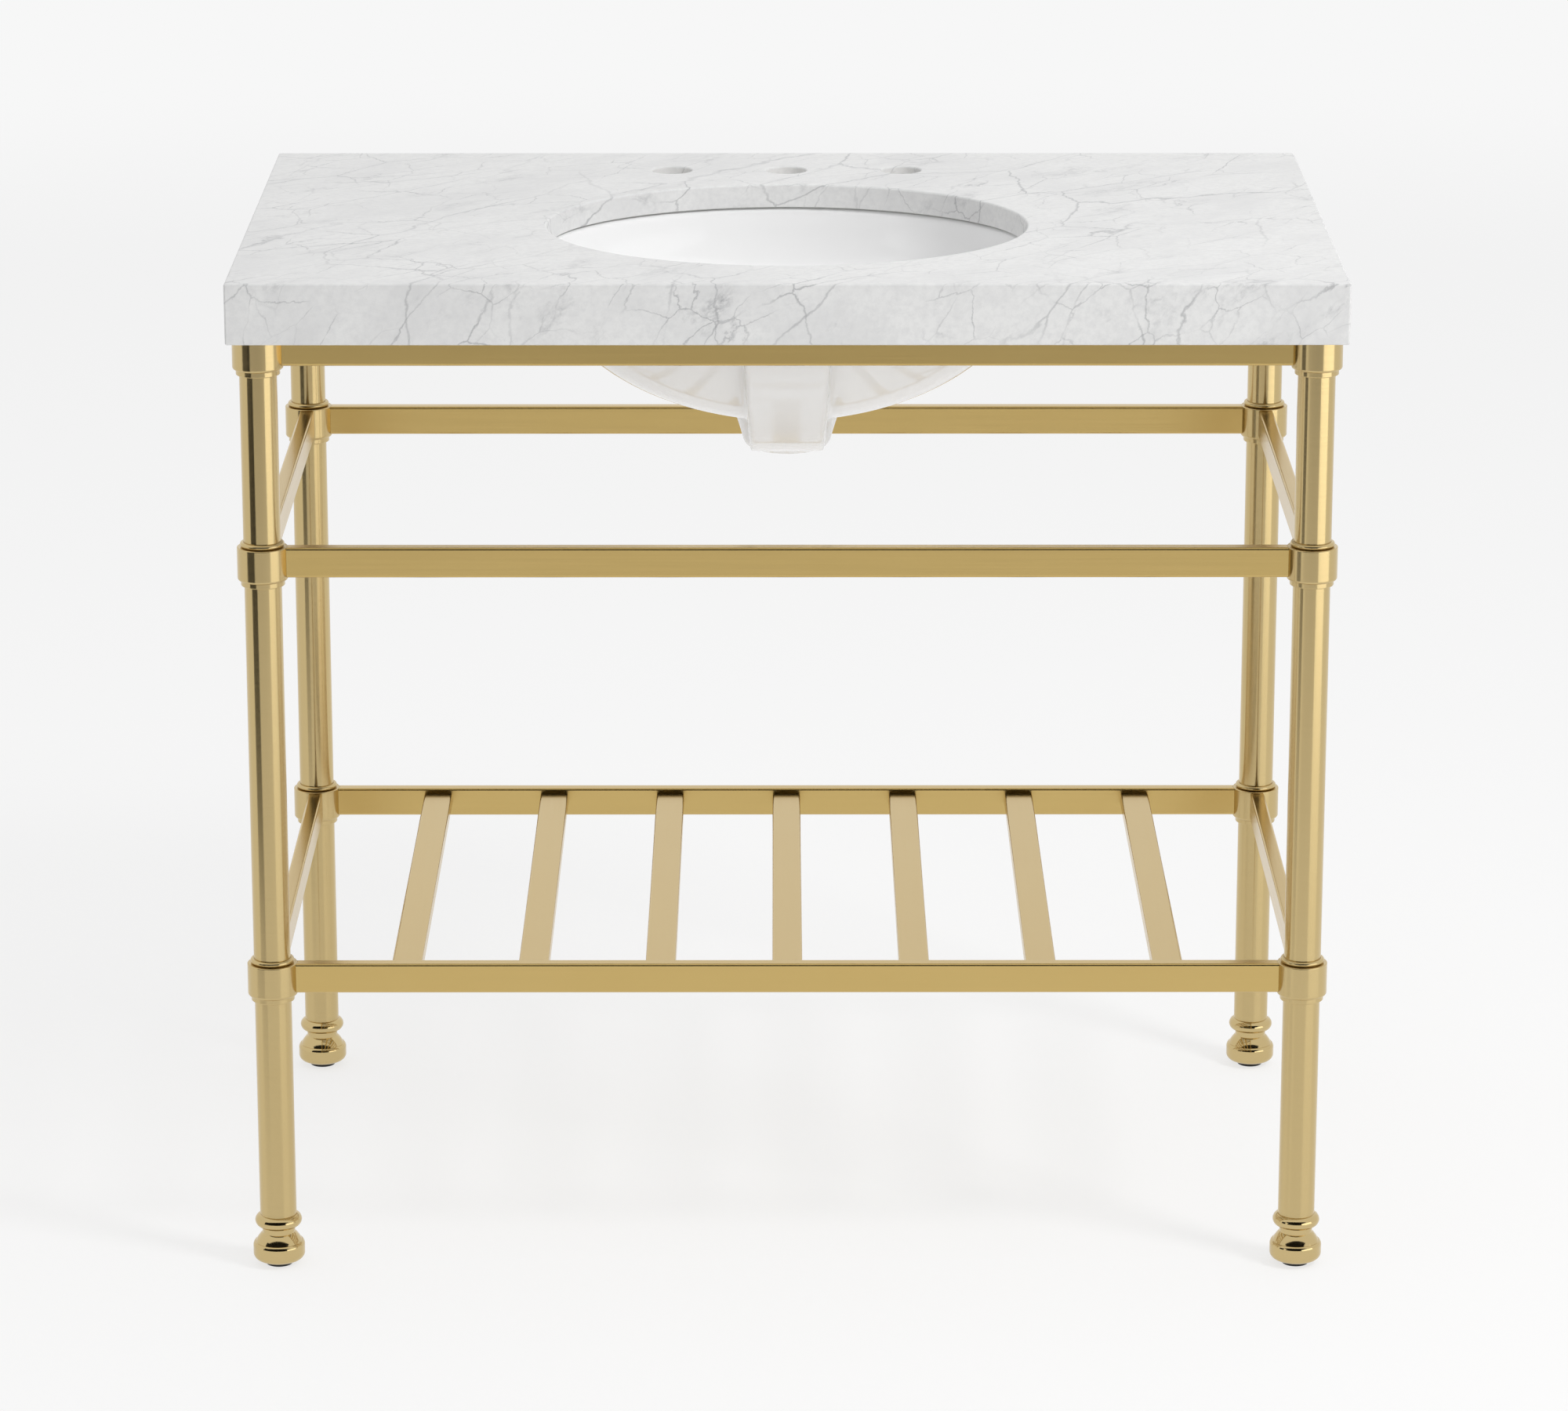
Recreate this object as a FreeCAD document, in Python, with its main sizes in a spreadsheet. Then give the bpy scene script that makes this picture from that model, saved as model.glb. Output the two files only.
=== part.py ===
import FreeCAD, Part
import math
import os
import Sketcher

# Single sink vanity: a brass console stand, a built-up marble top and an undermount oval basin.
# Millimetres. +X is right, +Y is the wall side and +Z is up. The origin is on the floor, under the
# middle of the top. The four corners are numbered round the plan from the front left.

SIZES = {
    # marble top
    "top_width": 914.4,
    "top_depth": 571.5,
    "counter_height": 857.25,
    "edge_height": 50.8,
    "slab_thickness": 20.0,
    "strip_width": 46.0,
    "arris_radius": 1.8,
    "faucet_hole_radius": 17.5,
    "faucet_pitch": 101.6,
    "faucet_from_back": 81.0,
    "bumper_radius": 4.0,
    "bumper_height": 0.8,
    # basin
    "cutout_from_front": 75.0,
    "cutout_from_back": 148.5,
    "cutout_half_width": 204.0,
    "bowl_lip": 12.0,
    "bowl_depth": 144.0,
    "bowl_wall": 11.0,
    "flange_width": 14.0,
    "flange_thickness": 12.0,
    "seal_thickness": 1.5,
    "seal_margin": 4.0,
    "boss_top_radius": 47.5,
    "boss_bottom_radius": 38.5,
    "boss_drop": 29.5,
    "boss_round": 12.0,
    "drain_radius": 22.5,
    "channel_top_width": 76.0,
    "channel_bottom_width": 62.0,
    "channel_depth": 14.0,
    "channel_wall": 6.0,
    "channel_straight": 25.0,
    "channel_drop": 21.8,
    "channel_round": 176.0,
    "overflow_hole_radius": 8.0,
    "overflow_slot_width": 20.0,
    # basin clips
    "clip_width": 20.0,
    "clip_thickness": 2.0,
    "clip_reach": 9.0,
    "clip_foot": 24.0,
    "clip_gap": 1.0,
    "clip_screw_radius": 2.5,
    "clip_screw_length": 13.0,
    "clip_head_radius": 4.5,
    "clip_head_height": 2.5,
    # legs and collars
    "leg_inset_side": 24.0,
    "leg_inset_ends": 29.2,
    "tube_radius": 15.5,
    "tube_wall": 1.5,
    "collar_radius": 21.0,
    "collar_height": 26.0,
    "collar_shoulder": 2.4,
    "collar_top_edge": 0.8,
    "collar_bead_radius": 18.4,
    "collar_bead_height": 4.4,
    "collar_ring_radius": 18.2,
    "collar_ring_height": 4.4,
    "collar_ring_edge": 0.8,
    "top_collar_height": 22.4,
    "collar_cap": 2.0,
    # rails
    "rail_height": 25.4,
    "rail_thickness": 12.7,
    "rail_wall": 1.5,
    "rail_edge_radius": 2.0,
    "top_rail_height": 21.5,
    "towel_rail_drop": 251.85,
    "shelf_rail_level": 244.4,
    "tenon_length": 25.0,
    "tenon_root": 3.0,
    "rail_screw_radius": 2.0,
    "rail_screw_bite": 4.0,
    "rail_screw_recess": 0.3,
    # shelf slats
    "slat_width": 25.4,
    "slat_thickness": 12.7,
    "slat_end_inset": 112.2,
    "slat_drop": 4.5,
    "plug_length": 12.0,
    "plug_pin_radius": 3.0,
    "plug_pin_reach": 4.0,
    # feet and levellers
    "foot_radius": 22.0,
    "foot_bottom_round": 6.0,
    "foot_band_height": 13.0,
    "foot_band_round": 5.0,
    "foot_crease_radius": 20.4,
    "foot_crease_height": 16.4,
    "foot_crease_step": 0.7,
    "foot_dome_round": 28.0,
    "foot_neck_height": 24.6,
    "foot_ring_start": 29.6,
    "foot_ring_radius": 19.9,
    "foot_ring_middle": 35.6,
    "foot_ring_round": 6.0,
    "foot_seat_height": 41.0,
    "foot_spigot": 20.0,
    "foot_bore_depth": 36.0,
    "pad_radius": 11.5,
    "pad_height": 4.0,
    "pad_edge": 1.0,
    "pad_socket_depth": 2.5,
    "pad_gap": 0.4,
    "stem_radius": 4.0,
    "stem_length": 32.0,
    # clearances
    "slip_fit": 0.05,
    "tenon_fit": 0.1,
    "screw_fit": 0.1,
    "overrun": 5.0,
}

SLAT_COUNT = 7
QUARTER_TURN = 90
CORNERS = ["front_left", "front_right", "back_right", "back_left"]
SIDES = ["front", "right", "back", "left"]

# Places given as shares of the piece that carries them.
BUMPER_SHARES = [0.2, 0.8]
CLIP_ROW_SHARES = [-0.55, 0.0, 0.55]
OVERFLOW_DEPTH_SHARE = 0.3
TOUCH_SHARE = 0.01


class Size:
    """A length in millimetres, kept with the sheet formula that gives it."""

    def __init__(self, number, formula):
        self.number = number
        self.formula = formula

    def __add__(self, other):
        other = as_size(other)
        return Size(self.number + other.number, f"({self.formula} + {other.formula})")

    def __sub__(self, other):
        other = as_size(other)
        return Size(self.number - other.number, f"({self.formula} - {other.formula})")

    def __mul__(self, factor):
        return Size(self.number * factor, f"({self.formula} * {factor})")

    def __truediv__(self, divisor):
        return Size(self.number / divisor, f"({self.formula} / {divisor})")

    def __neg__(self):
        return Size(-self.number, f"(0 - {self.formula})")


def as_size(value):
    """Turn a plain zero into a Size; a Size stays as it is."""
    return value if isinstance(value, Size) else Size(float(value), str(value))


doc = FreeCAD.newDocument("single_sink_vanity")
sheet = doc.addObject("Spreadsheet::Sheet", "Sizes")
for row, (alias, number) in enumerate(SIZES.items(), start=1):
    sheet.set(f"A{row}", alias)
    sheet.set(f"B{row}", str(number))
    sheet.setAlias(f"B{row}", alias)
doc.recompute()

pieces = []


def size(alias):
    """The sheet's value of that name."""
    return Size(SIZES[alias], f"Sizes.{alias}")


def bind(thing, **sizes):
    """Tie the named properties to sheet formulas."""
    for name, value in sizes.items():
        thing.setExpression(name, as_size(value).formula)


def place(thing, across=0, back=0, up=0, turn=0):
    """Put a thing at a point, turned about the vertical by whole degrees."""
    thing.Placement = FreeCAD.Placement(FreeCAD.Vector(), FreeCAD.Rotation(FreeCAD.Vector(0, 0, 1), turn))
    for letter, value in zip("xyz", (across, back, up)):
        thing.setExpression(f"Placement.Base.{letter}", as_size(value).formula)
    return thing


def keep(thing, label):
    """Name a finished sub-part; its label is the name of its file."""
    thing.Label = label
    pieces.append(thing)
    return thing


# Part primitives and booleans

def box(name, length, width, height, across=0, back=0, up=0):
    thing = doc.addObject("Part::Box", name)
    bind(thing, Length=length, Width=width, Height=height)
    return place(thing, across, back, up)


def cylinder(name, radius, height, across=0, back=0, up=0):
    thing = doc.addObject("Part::Cylinder", name)
    bind(thing, Radius=radius, Height=height)
    return place(thing, across, back, up)


def cross_pin(name, radius, length, across, back, up):
    """A cylinder that runs towards +Y from its start."""
    thing = cylinder(name, radius, length, across, back, up)
    thing.Placement.Rotation = FreeCAD.Rotation(FreeCAD.Vector(1, 0, 0), -QUARTER_TURN)
    return thing


def lower_ellipsoid(name, half_width, half_depth, depth):
    """The lower half of an ellipsoid about the origin."""
    thing = doc.addObject("Part::Ellipsoid", name)
    thing.Angle1 = -QUARTER_TURN
    thing.Angle2 = 0
    bind(thing, Radius1=depth, Radius2=half_width, Radius3=half_depth)
    return thing


def oval_axes(half_width, half_depth):
    """An oval's longer and shorter halves, and the turn that points the longer one."""
    if half_depth.number > half_width.number:
        return half_depth, half_width, QUARTER_TURN
    return half_width, half_depth, 0


def oval_plate(name, half_width, half_depth, thickness, up=0):
    """A flat plate with an elliptical outline."""
    outline = doc.addObject("Part::Ellipse", f"{name}_outline")
    longer, shorter, turn = oval_axes(half_width, half_depth)
    bind(outline, MajorRadius=longer, MinorRadius=shorter)
    place(outline, turn=turn)
    thing = doc.addObject("Part::Extrusion", name)
    thing.Base = outline
    thing.DirMode = "Custom"
    thing.Dir = FreeCAD.Vector(0, 0, 1)
    thing.Solid = True
    bind(thing, LengthFwd=thickness)
    return place(thing, up=up)


def cut(name, base, tool):
    thing = doc.addObject("Part::Cut", name)
    thing.Base = base
    thing.Tool = tool
    return thing


def common(name, base, tool):
    thing = doc.addObject("Part::Common", name)
    thing.Base = base
    thing.Tool = tool
    return thing


def fuse(name, things):
    thing = doc.addObject("Part::MultiFuse", name)
    thing.Shapes = things
    return thing


def group(label, things):
    """Several like solids that share one node."""
    thing = doc.addObject("Part::Compound", label)
    thing.Links = things
    return keep(thing, label)


# Sketched bodies

def new_sketch(body, name, plane):
    """A sketch on one of the body's own origin planes."""
    sketch = body.newObject("Sketcher::SketchObject", name)
    support = [feature for feature in body.Origin.OriginFeatures if feature.Role == plane][0]
    sketch.AttachmentSupport = [(support, "")]
    sketch.MapMode = "FlatFace"
    return sketch


def pin_point(sketch, edge, end, across, up):
    """Hold a point of a sketch at its distances from the sketch's origin."""
    for kind, value, axis in (("DistanceX", as_size(across), -2), ("DistanceY", as_size(up), -1)):
        if value.formula == "0":
            sketch.addConstraint(Sketcher.Constraint("PointOnObject", edge, end, axis))
        else:
            index = sketch.addConstraint(Sketcher.Constraint(kind, -1, 1, edge, end, value.number))
            sketch.setExpression(f"Constraints[{index}]", value.formula)


def bent_edge(start, end, radius):
    """A counter-clockwise arc of that radius, less than a half turn, between two points."""
    chord = end - start
    to_left = FreeCAD.Vector(-chord.y, chord.x, 0).normalize()
    centre = (start + end) * 0.5 + to_left * math.sqrt(radius ** 2 - (chord.Length / 2) ** 2)
    first = math.atan2(start.y - centre.y, start.x - centre.x)
    last = math.atan2(end.y - centre.y, end.x - centre.x)
    circle = Part.Circle(centre, FreeCAD.Vector(0, 0, 1), radius)
    return Part.ArcOfCircle(circle, first, last if last > first else last + 2 * math.pi)


def draw_outline(sketch, corners):
    """Draw a closed outline counter-clockwise.

    A corner is (across, up), or (across, up, radius) where an outward arc leads to the next corner.
    """
    first = sketch.GeometryCount
    count = len(corners)
    points = [FreeCAD.Vector(as_size(c[0]).number, as_size(c[1]).number, 0) for c in corners]
    for index, corner in enumerate(corners):
        start, end = points[index], points[(index + 1) % count]
        if len(corner) == 3:
            sketch.addGeometry(bent_edge(start, end, corner[2].number))
        else:
            sketch.addGeometry(Part.LineSegment(start, end))
    for index in range(count):
        after = first + (index + 1) % count
        sketch.addConstraint(Sketcher.Constraint("Coincident", first + index, 2, after, 1))
    for index, corner in enumerate(corners):
        pin_point(sketch, first + index, 1, corner[0], corner[1])
        if len(corner) == 3:
            bend = sketch.addConstraint(Sketcher.Constraint("Radius", first + index, corner[2].number))
            sketch.setExpression(f"Constraints[{bend}]", corner[2].formula)


def draw_circle(sketch, radius, across, back):
    centre = FreeCAD.Vector(as_size(across).number, as_size(back).number, 0)
    edge = sketch.addGeometry(Part.Circle(centre, FreeCAD.Vector(0, 0, 1), radius.number))
    pin_point(sketch, edge, 3, across, back)
    index = sketch.addConstraint(Sketcher.Constraint("Radius", edge, radius.number))
    sketch.setExpression(f"Constraints[{index}]", radius.formula)


def draw_oval(sketch, half_width, half_depth, across, back):
    """Draw an ellipse that is sized by its two diameters."""
    longer, shorter, turn = oval_axes(half_width, half_depth)
    spin = FreeCAD.Rotation(FreeCAD.Vector(0, 0, 1), turn)
    centre = FreeCAD.Vector(as_size(across).number, as_size(back).number, 0)
    tip = centre + spin.multVec(FreeCAD.Vector(longer.number, 0, 0))
    side = centre + spin.multVec(FreeCAD.Vector(0, shorter.number, 0))
    edge = sketch.addGeometry(Part.Ellipse(tip, side, centre))
    sketch.exposeInternalGeometry(edge)
    pin_point(sketch, edge, 3, across, back)
    sketch.addConstraint(Sketcher.Constraint("Vertical" if turn else "Horizontal", edge + 1))
    for offset, half in ((1, longer), (2, shorter)):
        span = half * 2
        index = sketch.addConstraint(Sketcher.Constraint("Distance", edge + offset, span.number))
        sketch.setExpression(f"Constraints[{index}]", span.formula)


def turned(name, corners):
    """A lathe-turned solid; corners are (radius, height) or (radius, height, arc)."""
    body = doc.addObject("PartDesign::Body", name)
    sketch = new_sketch(body, f"{name}_profile", "XZ_Plane")
    draw_outline(sketch, corners)
    revolution = body.newObject("PartDesign::Revolution", f"{name}_turning")
    revolution.Profile = sketch
    revolution.ReferenceAxis = (sketch, ["V_Axis"])
    revolution.Angle = 360
    return body


def bar(name, length, outlines):
    """A straight bar along +X whose section is drawn by closed outlines of (back, up) corners."""
    body = doc.addObject("PartDesign::Body", name)
    sketch = new_sketch(body, f"{name}_section", "YZ_Plane")
    for corners in outlines:
        draw_outline(sketch, corners)
    pad = body.newObject("PartDesign::Pad", f"{name}_length")
    pad.Profile = sketch
    bind(pad, Length=length)
    return body


def rectangle(half_breadth, low, high):
    return [(-half_breadth, low), (half_breadth, low), (half_breadth, high), (-half_breadth, high)]


def rounded_rectangle(half_breadth, low, high, radius):
    """A rectangle about the vertical axis with all four corners rounded."""
    inner = half_breadth - radius
    return [
        (-inner, low), (inner, low, radius),
        (half_breadth, low + radius), (half_breadth, high - radius, radius),
        (inner, high), (-inner, high, radius),
        (-half_breadth, high - radius), (-half_breadth, low + radius, radius),
    ]


def pocket(body, sketch, depth=None):
    """Cut upwards from a sketch on the ground plane, right through unless a depth is given."""
    doc.recompute()
    before = body.Shape.Volume
    feature = body.newObject("PartDesign::Pocket", f"{sketch.Name}_pocket")
    feature.Profile = sketch
    feature.Reversed = True
    if depth is None:
        feature.Type = "ThroughAll"
    else:
        bind(feature, Length=depth)
    doc.recompute()
    if body.Shape.Volume >= before:
        raise RuntimeError(f"{feature.Name} cuts nothing")


def round_edges(body, radius, wanted):
    """Round the edges of a body whose bounding boxes pass the test."""
    doc.recompute()
    base = body.Tip
    names = [f"Edge{n}" for n, edge in enumerate(base.Shape.Edges, start=1) if wanted(edge.BoundBox)]
    fillet = body.newObject("PartDesign::Fillet", f"{body.Name}_arris")
    fillet.Base = (base, names)
    bind(fillet, Radius=radius)


# Values shared by several sub-parts

slab_bottom = size("counter_height") - size("slab_thickness")
strip_bottom = size("counter_height") - size("edge_height")
stand_top = strip_bottom - size("bumper_height")
leg_across = size("top_width") / 2 - size("leg_inset_side")
leg_back = size("top_depth") / 2 - size("leg_inset_ends")
tube_bore = size("tube_radius") - size("tube_wall")
collar_bore = size("tube_radius") + size("slip_fit")
foot_bottom = size("pad_height") + size("pad_gap")
cutout_half_depth = (size("top_depth") - size("cutout_from_front") - size("cutout_from_back")) / 2
bowl_half_width = size("cutout_half_width") + size("bowl_lip")
bowl_half_depth = cutout_half_depth + size("bowl_lip")
basin_back = size("cutout_from_front") + cutout_half_depth - size("top_depth") / 2
basin_top = slab_bottom - size("seal_thickness")
touch = size("arris_radius").number * TOUCH_SHARE

corner_places = [
    (-leg_across, -leg_back), (leg_across, -leg_back), (leg_across, leg_back), (-leg_across, leg_back),
]
spans = [leg_across * 2, leg_back * 2, leg_across * 2, leg_back * 2]
levels = {
    "top": (stand_top - size("top_rail_height"), size("top_rail_height")),
    "towel": (size("counter_height") - size("towel_rail_drop"), size("rail_height")),
    "shelf": (size("shelf_rail_level"), size("rail_height")),
}
slat_pitch = (leg_across - size("slat_end_inset")) * 2 / (SLAT_COUNT - 1)
slat_places = [slat_pitch * (n - (SLAT_COUNT - 1) / 2) for n in range(SLAT_COUNT)]
slat_low = size("shelf_rail_level") + size("rail_height") - size("slat_drop") - size("slat_thickness")
slat_middle = slat_low + size("slat_thickness") / 2
screw_place = size("collar_radius") + size("tenon_length") / 2
tenon_breadth = size("rail_thickness") - (size("rail_wall") + size("tenon_fit")) * 2


# Legs: a tube, a turned foot and a levelling glide at each corner

def foot_corners():
    """The foot's turning, from the bore's mouth outwards and up to the spigot."""
    rim = size("foot_radius")
    neck = tube_bore - size("tenon_fit")
    bore = size("stem_radius") + size("slip_fit")
    crease = size("foot_crease_radius")
    spigot_top = size("foot_seat_height") + size("foot_spigot")
    return [
        (bore, 0),
        (rim - size("foot_bottom_round"), 0, size("foot_bottom_round")),
        (rim, size("foot_bottom_round")),
        (rim, size("foot_band_height"), size("foot_band_round")),
        (crease, size("foot_crease_height")),
        (crease - size("foot_crease_step"), size("foot_crease_height"), size("foot_dome_round")),
        (neck, size("foot_neck_height")),
        (neck, size("foot_ring_start"), size("foot_ring_round")),
        (size("foot_ring_radius"), size("foot_ring_middle"), size("foot_ring_round")),
        (size("tube_radius"), size("foot_seat_height")),
        (neck, size("foot_seat_height")),
        (neck, spigot_top),
        (0, spigot_top),
        (0, size("foot_bore_depth")),
        (bore, size("foot_bore_depth")),
    ]


def pad_corners():
    """The glide's pad, with the socket that holds its stem."""
    rim = size("pad_radius")
    edge = size("pad_edge")
    socket = size("stem_radius") + size("slip_fit")
    socket_floor = size("pad_height") - size("pad_socket_depth")
    return [
        (0, 0), (rim - edge, 0, edge), (rim, edge),
        (rim, size("pad_height") - edge, edge), (rim - edge, size("pad_height")),
        (socket, size("pad_height")), (socket, socket_floor), (0, socket_floor),
    ]


def make_leg(corner, across, back):
    tube_low = foot_bottom + size("foot_seat_height")
    tube_length = stand_top - size("collar_cap") - tube_low
    outside = cylinder(f"tube_{corner}_outside", size("tube_radius"), tube_length)
    inside = cylinder(f"tube_{corner}_inside", tube_bore, tube_length)
    tube = cut(f"tube_{corner}", outside, inside)
    keep(place(tube, across, back, tube_low), f"leg_tube_{corner}")

    foot = turned(f"foot_{corner}", foot_corners())
    keep(place(foot, across, back, foot_bottom), f"foot_{corner}")

    pad = turned(f"pad_{corner}", pad_corners())
    keep(place(pad, across, back), f"leveller_pad_{corner}")

    stem_low = size("pad_height") - size("pad_socket_depth")
    stem = cylinder(f"stem_{corner}", size("stem_radius"), size("stem_length"), across, back, stem_low)
    keep(stem, f"leveller_stem_{corner}")


# Collars: turned sleeves on the tubes, with a tenon into each of the two rails that meet there

def collar_foot_corners(low):
    """The lower ring and rounded shoulder under a collar's band, whose straight side starts at low."""
    ring = size("collar_ring_radius")
    edge = size("collar_ring_edge")
    shoulder = size("collar_shoulder")
    ring_low = low - shoulder - size("collar_ring_height")
    return [
        (collar_bore, ring_low), (ring - edge, ring_low, edge), (ring, ring_low + edge),
        (ring, low - shoulder), (size("collar_radius") - shoulder, low - shoulder, shoulder),
        (size("collar_radius"), low),
    ]


def collar_edge_corners(high):
    """The eased top edge of a collar's band."""
    rim = size("collar_radius")
    edge = size("collar_top_edge")
    return [(rim, high - edge, edge), (rim - edge, high)]


def open_collar_corners():
    """A collar that the tube runs right through, about its own middle, with a bead on top."""
    half = size("collar_height") / 2
    bead_round = size("collar_bead_height") / 2
    bead = size("collar_bead_radius")
    bead_top = half + size("collar_bead_height")
    return collar_foot_corners(-half) + collar_edge_corners(half) + [
        (bead - bead_round, half, bead_round), (bead, half + bead_round, bead_round),
        (bead - bead_round, bead_top), (collar_bore, bead_top),
    ]


def capped_collar_corners():
    """The collar at the top of a leg, about its own top, which closes the tube."""
    low = -size("top_collar_height")
    return collar_foot_corners(low) + collar_edge_corners(as_size(0)) + [
        (0, 0), (0, -size("collar_cap")), (collar_bore, -size("collar_cap")),
    ]


def make_collar(level, number):
    name = f"collar_{level}_{CORNERS[number]}"
    rail_low, rail_height = levels[level]
    if level == "top":
        corners, middle = capped_collar_corners(), stand_top
    else:
        corners, middle = open_collar_corners(), rail_low + rail_height / 2
    sleeve = turned(f"{name}_sleeve", corners)
    tenon_height = rail_height - (size("rail_wall") + size("tenon_fit")) * 2
    tenon_low = rail_low + size("rail_wall") + size("tenon_fit") - middle
    start = size("collar_radius") - size("tenon_root")
    reach = size("tenon_root") + size("tenon_length")
    half = tenon_breadth / 2
    ahead = box(f"{name}_tenon_ahead", reach, tenon_breadth, tenon_height, start, -half, tenon_low)
    beside = box(f"{name}_tenon_beside", tenon_breadth, reach, tenon_height, -half, start, tenon_low)
    hole_radius = size("rail_screw_radius") + size("slip_fit")
    holes = fuse(f"{name}_screw_holes", [
        cylinder(f"{name}_hole_ahead", hole_radius, size("rail_screw_bite"), screw_place, 0, tenon_low),
        cylinder(f"{name}_hole_beside", hole_radius, size("rail_screw_bite"), 0, screw_place, tenon_low),
    ])
    collar = cut(name, fuse(f"{name}_solid", [sleeve, ahead, beside]), holes)
    across, back = corner_places[number]
    keep(place(collar, across, back, middle, number * QUARTER_TURN), name)


# Rails: hollow bars coped to the collars, each starting at the corner of its own number

def hollow_bar(name, length, breadth, height):
    wall = size("rail_wall")
    outer = rounded_rectangle(breadth / 2, as_size(0), height, size("rail_edge_radius"))
    inner = rectangle(breadth / 2 - wall, wall, height - wall)
    return bar(name, length, [outer, inner])


def make_rail(level, number):
    name = f"{level}_rail_{SIDES[number]}"
    low, height = levels[level]
    span = spans[number]
    thickness = size("rail_thickness")
    solid = hollow_bar(f"{name}_bar", span, thickness, height)
    cope_radius = size("collar_radius") + size("slip_fit")
    hole_radius = size("rail_screw_radius") + size("screw_fit")
    below = -size("overrun")
    cope_height = height + size("overrun") * 2
    hole_height = size("rail_wall") + size("overrun")
    cuts = []
    for end, cope_along, hole_along in ((1, as_size(0), screw_place), (2, span, span - screw_place)):
        cuts.append(cylinder(f"{name}_cope_{end}", cope_radius, cope_height, cope_along, 0, below))
        cuts.append(cylinder(f"{name}_hole_{end}", hole_radius, hole_height, hole_along, 0, below))
    if level == "shelf" and SIDES[number] in ("front", "back"):
        pin_up = slat_middle - low
        pin_radius = size("plug_pin_radius") + size("screw_fit")
        for slat, slat_across in enumerate(slat_places, start=1):
            pin_along = leg_across + slat_across
            cuts.append(cross_pin(f"{name}_pin_{slat}", pin_radius, thickness, pin_along, 0, pin_up))
    rail = cut(name, solid, fuse(f"{name}_cuts", cuts))
    across, back = corner_places[number]
    keep(place(rail, across, back, low, number * QUARTER_TURN), name)


def make_rail_screws():
    """A grub screw up through the underside of each rail end into its tenon."""
    screws = []
    recess = size("rail_screw_recess")
    length = size("rail_wall") + size("tenon_fit") + size("rail_screw_bite") - recess
    for level, (low, _) in levels.items():
        for number, (across, back) in enumerate(corner_places):
            to_right = 1 if number in (0, 3) else -1
            to_back = 1 if number in (0, 1) else -1
            for way, x, y in (
                ("across", across + screw_place * to_right, back),
                ("back", across, back + screw_place * to_back),
            ):
                name = f"rail_screw_{level}_{CORNERS[number]}_{way}"
                screws.append(cylinder(name, size("rail_screw_radius"), length, x, y, low + recess))
    group("rail_screws", screws)


# Shelf: slats between the front and back shelf rails, held by plugs with pins

def make_slats():
    length = leg_back * 2 - size("rail_thickness")
    front = -length / 2
    for number, across in enumerate(slat_places, start=1):
        slat = hollow_bar(f"slat_{number}", length, size("slat_width"), size("slat_thickness"))
        keep(place(slat, across, front, slat_low, QUARTER_TURN), f"shelf_slat_{number}")


def make_slat_plugs():
    play = (size("rail_wall") + size("tenon_fit")) * 2
    breadth = size("slat_width") - play
    height = size("slat_thickness") - play
    half_shelf = leg_back - size("rail_thickness") / 2
    low = slat_middle - height / 2
    pin_radius = size("plug_pin_radius")
    pin_length = size("plug_length") + size("plug_pin_reach")
    plugs = []
    for number, across in enumerate(slat_places, start=1):
        for end, plug_back, pin_back in (
            ("front", -half_shelf, -half_shelf - size("plug_pin_reach")),
            ("back", half_shelf - size("plug_length"), half_shelf - size("plug_length")),
        ):
            name = f"plug_{number}_{end}"
            left = across - breadth / 2
            block = box(f"{name}_block", breadth, size("plug_length"), height, left, plug_back, low)
            pin = cross_pin(f"{name}_pin", pin_radius, pin_length, across, pin_back, slat_middle)
            plugs.append(fuse(name, [block, pin]))
    group("slat_plugs", plugs)


# Marble: a slab with the basin's cut-out and the faucet holes, built up at its edges with strips

def clip_edge(share):
    """How far across the flange's rim lies at that share of its depth."""
    return (bowl_half_width + size("flange_width")) * math.sqrt(1 - share ** 2)


def clip_row(share):
    """Where a clip's middle lies behind the bowl's, so that its inner side is at that share."""
    side = (share > 0) - (share < 0)
    return (bowl_half_depth + size("flange_width")) * share + size("clip_width") * side / 2


def clip_screw_across(share):
    return clip_edge(share) + size("clip_gap") + size("clip_thickness") + size("clip_foot") / 2


def make_slab():
    body = doc.addObject("PartDesign::Body", "slab")
    half_width = size("top_width") / 2
    half_depth = size("top_depth") / 2
    outline = new_sketch(body, "slab_outline", "XY_Plane")
    draw_outline(outline, rectangle(half_width, -half_depth, half_depth))
    pad = body.newObject("PartDesign::Pad", "slab_pad")
    pad.Profile = outline
    bind(pad, Length=size("slab_thickness"))

    openings = new_sketch(body, "slab_openings", "XY_Plane")
    draw_oval(openings, size("cutout_half_width"), cutout_half_depth, 0, basin_back)
    faucet_back = half_depth - size("faucet_from_back")
    for across in (-size("faucet_pitch"), as_size(0), size("faucet_pitch")):
        draw_circle(openings, size("faucet_hole_radius"), across, faucet_back)
    pocket(body, openings)

    screw_holes = new_sketch(body, "slab_screw_holes", "XY_Plane")
    for share in CLIP_ROW_SHARES:
        for across in (-clip_screw_across(share), clip_screw_across(share)):
            hole_radius = size("clip_screw_radius") + size("screw_fit")
            draw_circle(screw_holes, hole_radius, across, basin_back + clip_row(share))
    pocket(body, screw_holes, size("clip_screw_length"))

    top = size("slab_thickness").number - touch
    side = half_width.number - touch
    round_edges(body, size("arris_radius"), lambda b: b.ZMin > top or (b.XMin > side or b.XMax < -side)
                and b.YLength < touch)
    keep(place(body, 0, 0, slab_bottom), "marble_slab")


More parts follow.
